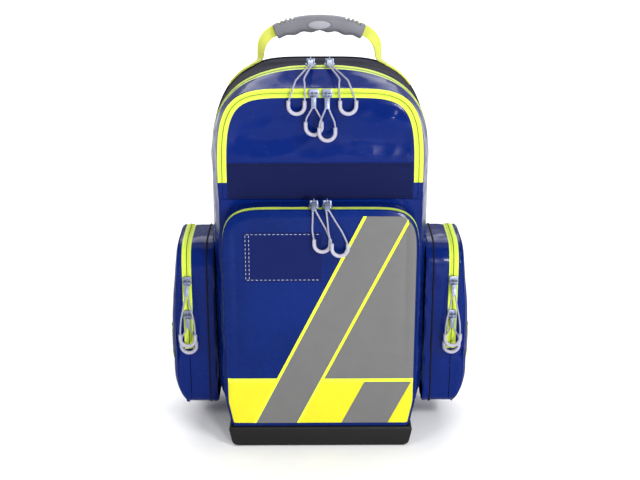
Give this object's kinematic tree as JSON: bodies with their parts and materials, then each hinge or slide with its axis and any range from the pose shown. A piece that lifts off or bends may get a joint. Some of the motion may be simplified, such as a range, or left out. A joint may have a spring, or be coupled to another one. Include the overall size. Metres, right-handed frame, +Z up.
{
  "type": "trauma backpack",
  "caption": "Upright emergency backpack with zipped main, front and side compartments, a moulded top grip and reflective bars.",
  "frame": {"origin": "middle of the overall footprint, on the floor under the base", "axes": "+Z up, front faces -Y, +X to the right seen from the front"},
  "size_m": [0.432, 0.284, 0.586],
  "materials": {
    "navy_textile": "matte",
    "blue_tarpaulin": "gloss",
    "black_base": "matte",
    "lime_tape": "matte",
    "black_webbing": "matte",
    "black_plastic": "satin",
    "grey_grip": "matte",
    "reflective_grey": "satin",
    "fluorescent_yellow": "satin",
    "loop_navy": "matte",
    "slider_metal": "satin",
    "pull_grey": "satin"
  },
  "bodies": {
    "pack": {"back_panel": "navy_textile", "back_pads": "navy_textile", "rear_gusset": "navy_textile", "rear_boot": "black_base", "handle_tabs": "lime_tape", "main_zip_rear": "lime_tape", "shoulder_strap_left": "navy_textile", "shoulder_strap_right": "navy_textile", "strap_webbing": "black_webbing", "ladder_locks": "black_plastic", "chest_webbing": "black_webbing", "chest_socket": "black_plastic", "left_side_shell": "blue_tarpaulin", "right_side_shell": "blue_tarpaulin", "left_side_zip": "lime_tape", "right_side_zip": "lime_tape"},
    "handle": {"handle_webbing": "lime_tape", "handle_grip": "grey_grip"},
    "chest_plug": {"chest_plug": "black_plastic"},
    "hip_left": {"hip_wing_left": "navy_textile", "hip_socket": "black_plastic"},
    "hip_right": {"hip_wing_right": "navy_textile", "hip_plug": "black_plastic"},
    "main_lid": {"main_zip_front": "lime_tape", "lid_wall": "blue_tarpaulin", "front_gusset": "blue_tarpaulin", "front_boot": "black_base", "pocket_gusset": "blue_tarpaulin", "upper_zip_rear": "lime_tape", "pocket_zip_rear": "lime_tape"},
    "upper_lid": {"upper_zip_front": "lime_tape", "upper_panel": "blue_tarpaulin", "loop_strip": "loop_navy"},
    "pocket_lid": {"pocket_zip_front": "lime_tape", "pocket_panel": "blue_tarpaulin", "reflective_bars": "reflective_grey", "fluorescent_band": "fluorescent_yellow", "name_patch": "loop_navy"},
    "left_cover": {"left_side_cover": "blue_tarpaulin"},
    "right_cover": {"right_side_cover": "blue_tarpaulin"},
    "main_slider_left": {"main_slider_left": "slider_metal"},
    "main_pull_left": {"main_pull_left": "pull_grey"},
    "main_slider_right": {"main_slider_right": "slider_metal"},
    "main_pull_right": {"main_pull_right": "pull_grey"},
    "upper_slider_left": {"upper_slider_left": "slider_metal"},
    "upper_pull_left": {"upper_pull_left": "pull_grey"},
    "upper_slider_right": {"upper_slider_right": "slider_metal"},
    "upper_pull_right": {"upper_pull_right": "pull_grey"},
    "pocket_slider_left": {"pocket_slider_left": "slider_metal"},
    "pocket_pull_left": {"pocket_pull_left": "pull_grey"},
    "pocket_slider_right": {"pocket_slider_right": "slider_metal"},
    "pocket_pull_right": {"pocket_pull_right": "pull_grey"},
    "left_side_slider_high": {"left_side_slider_high": "slider_metal"},
    "left_side_pull_high": {"left_side_pull_high": "pull_grey"},
    "left_side_slider_low": {"left_side_slider_low": "slider_metal"},
    "left_side_pull_low": {"left_side_pull_low": "pull_grey"},
    "right_side_slider_high": {"right_side_slider_high": "slider_metal"},
    "right_side_pull_high": {"right_side_pull_high": "pull_grey"},
    "right_side_slider_low": {"right_side_slider_low": "slider_metal"},
    "right_side_pull_low": {"right_side_pull_low": "pull_grey"}
  },
  "joints": [
    {"name": "handle_fold", "type": "hinge", "parent": "pack", "child": "handle", "pos_m": [0, 0.0942, 0.526], "axis": [1, 0, 0], "range_deg": [-60, 50]},
    {"name": "main_lid_hinge", "type": "hinge", "parent": "pack", "child": "main_lid", "pos_m": [0, -0.0298, 0], "axis": [1, 0, 0], "range_deg": [0, 75]},
    {"name": "upper_lid_hinge", "type": "hinge", "parent": "main_lid", "child": "upper_lid", "pos_m": [0, -0.0858, 0.3615], "axis": [1, 0, 0], "range_deg": [0, 60], "deforming": ["main_pull_left", "main_pull_right"]},
    {"name": "pocket_lid_hinge", "type": "hinge", "parent": "main_lid", "child": "pocket_lid", "pos_m": [0, -0.1278, 0.0315], "axis": [1, 0, 0], "range_deg": [0, 80]},
    {"name": "left_cover_hinge", "type": "hinge", "parent": "pack", "child": "left_cover", "pos_m": [-0.1913, 0.0052, 0.029], "axis": [0, -1, 0], "range_deg": [0, 85]},
    {"name": "right_cover_hinge", "type": "hinge", "parent": "pack", "child": "right_cover", "pos_m": [0.1913, 0.0052, 0.029], "axis": [0, 1, 0], "range_deg": [0, 85]},
    {"name": "chest_plug_slide", "type": "slide", "parent": "pack", "child": "chest_plug", "axis": [1, 0, 0], "range_m": [0, 0.022]},
    {"name": "hip_left_hinge", "type": "hinge", "parent": "pack", "child": "hip_left", "pos_m": [-0.125, 0.1057, 0.115], "axis": [0, 0, 1], "range_deg": [0, 90]},
    {"name": "hip_right_hinge", "type": "hinge", "parent": "pack", "child": "hip_right", "pos_m": [0.125, 0.1057, 0.115], "axis": [0, 0, -1], "range_deg": [0, 90]},
    {"name": "main_slider_left_travel", "type": "slide", "parent": "main_lid", "child": "main_slider_left", "axis": [1, 0, 0], "range_m": [-0.03, 0]},
    {"name": "main_pull_left_swing", "type": "hinge", "parent": "main_slider_left", "child": "main_pull_left", "pos_m": [-0.013, -0.0298, 0.54445], "axis": [-1, 0, 0], "range_deg": [0, 115]},
    {"name": "main_slider_right_travel", "type": "slide", "parent": "main_lid", "child": "main_slider_right", "axis": [1, 0, 0], "range_m": [0, 0.03]},
    {"name": "main_pull_right_swing", "type": "hinge", "parent": "main_slider_right", "child": "main_pull_right", "pos_m": [0.013, -0.0298, 0.54445], "axis": [-1, 0, 0], "range_deg": [0, 115]},
    {"name": "upper_slider_left_travel", "type": "slide", "parent": "upper_lid", "child": "upper_slider_left", "axis": [1, 0, 0], "range_m": [-0.08, 0]},
    {"name": "upper_pull_left_swing", "type": "hinge", "parent": "upper_slider_left", "child": "upper_pull_left", "pos_m": [-0.009, -0.09625, 0.5098], "axis": [-1, 0, 0], "range_deg": [0, 150]},
    {"name": "upper_slider_right_travel", "type": "slide", "parent": "upper_lid", "child": "upper_slider_right", "axis": [1, 0, 0], "range_m": [0, 0.08]},
    {"name": "upper_pull_right_swing", "type": "hinge", "parent": "upper_slider_right", "child": "upper_pull_right", "pos_m": [0.009, -0.09625, 0.5098], "axis": [-1, 0, 0], "range_deg": [0, 150]},
    {"name": "pocket_slider_left_travel", "type": "slide", "parent": "pocket_lid", "child": "pocket_slider_left", "axis": [1, 0, 0], "range_m": [-0.09, 0]},
    {"name": "pocket_pull_left_swing", "type": "hinge", "parent": "pocket_slider_left", "child": "pocket_pull_left", "pos_m": [-0.009, -0.1173, 0.36845], "axis": [-1, 0, 0], "range_deg": [0, 130]},
    {"name": "pocket_slider_right_travel", "type": "slide", "parent": "pocket_lid", "child": "pocket_slider_right", "axis": [1, 0, 0], "range_m": [0, 0.09]},
    {"name": "pocket_pull_right_swing", "type": "hinge", "parent": "pocket_slider_right", "child": "pocket_pull_right", "pos_m": [0.009, -0.1173, 0.36845], "axis": [-1, 0, 0], "range_deg": [0, 130]},
    {"name": "left_side_slider_high_travel", "type": "slide", "parent": "left_cover", "child": "left_side_slider_high", "axis": [0, 0, 1], "range_m": [0, 0.02]},
    {"name": "left_side_pull_high_swing", "type": "hinge", "parent": "left_side_slider_high", "child": "left_side_pull_high", "pos_m": [-0.1913, -0.06825, 0.23], "axis": [-1, 0, 0], "range_deg": [0, 150]},
    {"name": "left_side_slider_low_travel", "type": "slide", "parent": "left_cover", "child": "left_side_slider_low", "axis": [0, 0, 1], "range_m": [-0.045, 0]},
    {"name": "left_side_pull_low_swing", "type": "hinge", "parent": "left_side_slider_low", "child": "left_side_pull_low", "pos_m": [-0.1913, -0.06825, 0.178], "axis": [-1, 0, 0], "range_deg": [0, 150]},
    {"name": "right_side_slider_high_travel", "type": "slide", "parent": "right_cover", "child": "right_side_slider_high", "axis": [0, 0, 1], "range_m": [0, 0.02]},
    {"name": "right_side_pull_high_swing", "type": "hinge", "parent": "right_side_slider_high", "child": "right_side_pull_high", "pos_m": [0.1913, -0.06825, 0.23], "axis": [-1, 0, 0], "range_deg": [0, 150]},
    {"name": "right_side_slider_low_travel", "type": "slide", "parent": "right_cover", "child": "right_side_slider_low", "axis": [0, 0, 1], "range_m": [-0.045, 0]},
    {"name": "right_side_pull_low_swing", "type": "hinge", "parent": "right_side_slider_low", "child": "right_side_pull_low", "pos_m": [0.1913, -0.06825, 0.178], "axis": [-1, 0, 0], "range_deg": [0, 150]}
  ],
  "couplings": [
    {"joint": "upper_pull_right_swing", "follows": "upper_pull_left_swing", "ratio": 1},
    {"joint": "pocket_pull_right_swing", "follows": "pocket_pull_left_swing", "ratio": 1},
    {"joint": "left_side_pull_low_swing", "follows": "left_side_pull_high_swing", "ratio": 1},
    {"joint": "right_side_pull_low_swing", "follows": "right_side_pull_high_swing", "ratio": 1}
  ]
}
